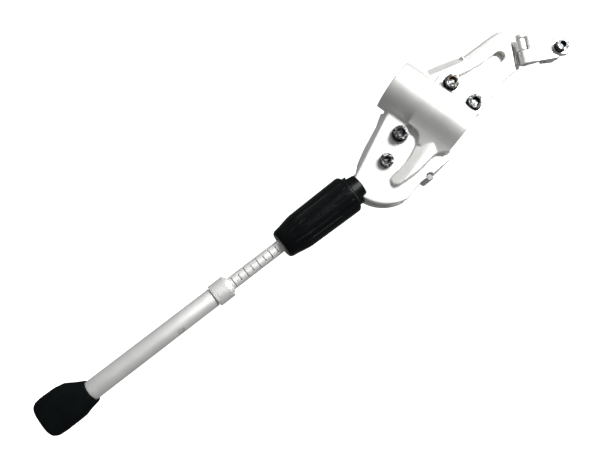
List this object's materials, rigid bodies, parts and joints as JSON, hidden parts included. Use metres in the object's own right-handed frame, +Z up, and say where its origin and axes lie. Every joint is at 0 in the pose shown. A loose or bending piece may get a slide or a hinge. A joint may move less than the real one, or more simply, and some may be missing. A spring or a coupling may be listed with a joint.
{
  "type": "bicycle kickstand",
  "caption": "Side kickstand that clamps to the left chainstay and seatstay, with a folding leg of adjustable length and a broad rubber foot.",
  "frame": {"origin": "middle of the chainstay seat, on the centreline of the chainstay it clamps", "axes": "+X rearward along the chainstay, +Y inboard towards the wheel, +Z up; the outer side of the stand faces -Y"},
  "size_m": [0.1363, 0.0681, 0.4014],
  "materials": {
    "cast_silver": "satin die casting under a clear silver lacquer",
    "tube_silver": "fine satin anodised",
    "bright_steel": "bright zinc plated",
    "dark_steel": "dark plated, part worn, one head rusty",
    "brass": "turned",
    "black_plastic": "satin moulded",
    "black_rubber": "matt moulded",
    "pale_rubber": "pale grey moulded"
  },
  "bodies": {
    "bracket": {"front_casting": "cast_silver", "chainstay_pad_front": "black_rubber", "upper_clamp_bolt": "dark_steel", "upper_clamp_lock_washer": "dark_steel", "upper_clamp_washer": "bright_steel", "lower_clamp_bolt": "dark_steel", "lower_clamp_lock_washer": "dark_steel", "lower_clamp_washer": "bright_steel", "pivot_bolt": "dark_steel", "pivot_bush": "brass", "pivot_washer": "bright_steel", "pivot_nut": "dark_steel", "stop_pin": "bright_steel"},
    "back_plate": {"back_clamp": "cast_silver", "chainstay_pad_back": "black_rubber", "upper_clamp_nut": "dark_steel", "lower_clamp_nut": "dark_steel"},
    "link": {"stay_link": "cast_silver", "link_bolt": "dark_steel", "link_lock_washer": "dark_steel", "link_washer": "bright_steel", "hinge_pin": "bright_steel", "stay_pad_back": "pale_rubber"},
    "jaw": {"stay_jaw": "cast_silver", "stay_pad_front": "pale_rubber"},
    "jaw_bolt": {"stay_bolt": "dark_steel", "stay_bolt_washer": "bright_steel"},
    "leg": {"leg_head": "cast_silver", "grip_sleeve": "black_plastic", "detent_spring": "bright_steel", "rod_cross_pin": "bright_steel", "graduated_rod": "tube_silver", "rod_guide": "black_plastic"},
    "plunger": {"detent_plunger": "bright_steel"},
    "lower_leg": {"outer_tube": "tube_silver", "collet": "tube_silver", "tube_plug": "black_plastic", "rubber_foot": "black_rubber"},
    "collar": {"lock_collar": "tube_silver"}
  },
  "joints": [
    {"name": "leg_pivot", "type": "hinge", "parent": "bracket", "child": "leg", "pos_m": [-0.0007, 0.0065, -0.0476], "axis": [0, -1, 0], "range_deg": [0, 93]},
    {"name": "detent_travel", "type": "slide", "parent": "leg", "child": "plunger", "axis": [-0.2555, 0, -0.9668], "range_m": [0, 0.0008], "stiffness_N_per_m": 2000, "springref_m": -0.002},
    {"name": "leg_extension", "type": "slide", "parent": "leg", "child": "lower_leg", "axis": [-0.2523, -0.1564, -0.9549], "range_m": [-0.04, 0.025]},
    {"name": "collar_twist", "type": "hinge", "parent": "lower_leg", "child": "collar", "pos_m": [-0.03549, -0.01579, -0.18398], "axis": [-0.2523, -0.1564, -0.9549], "range_deg": [0, 180]},
    {"name": "back_plate_release", "type": "slide", "parent": "bracket", "child": "back_plate", "axis": [0, 1, 0], "range_m": [0, 0.004]},
    {"name": "link_adjust", "type": "hinge", "parent": "bracket", "child": "link", "pos_m": [-0.0856, 0.0025, 0.0821], "axis": [0, -1, 0], "range_deg": [0, 20.6]},
    {"name": "stay_bolt_travel", "type": "slide", "parent": "link", "child": "jaw_bolt", "axis": [0.0967, -0.9903, 0.1001], "range_m": [0, 0.004]},
    {"name": "jaw_hinge", "type": "hinge", "parent": "link", "child": "jaw", "pos_m": [0.0259, -0.009, 0.07105], "axis": [0.7193, 0, -0.6947], "range_deg": [0, 7.7]}
  ],
  "couplings": [
    {"joint": "jaw_hinge", "follows": "stay_bolt_travel", "rad_per_m": 33}
  ]
}
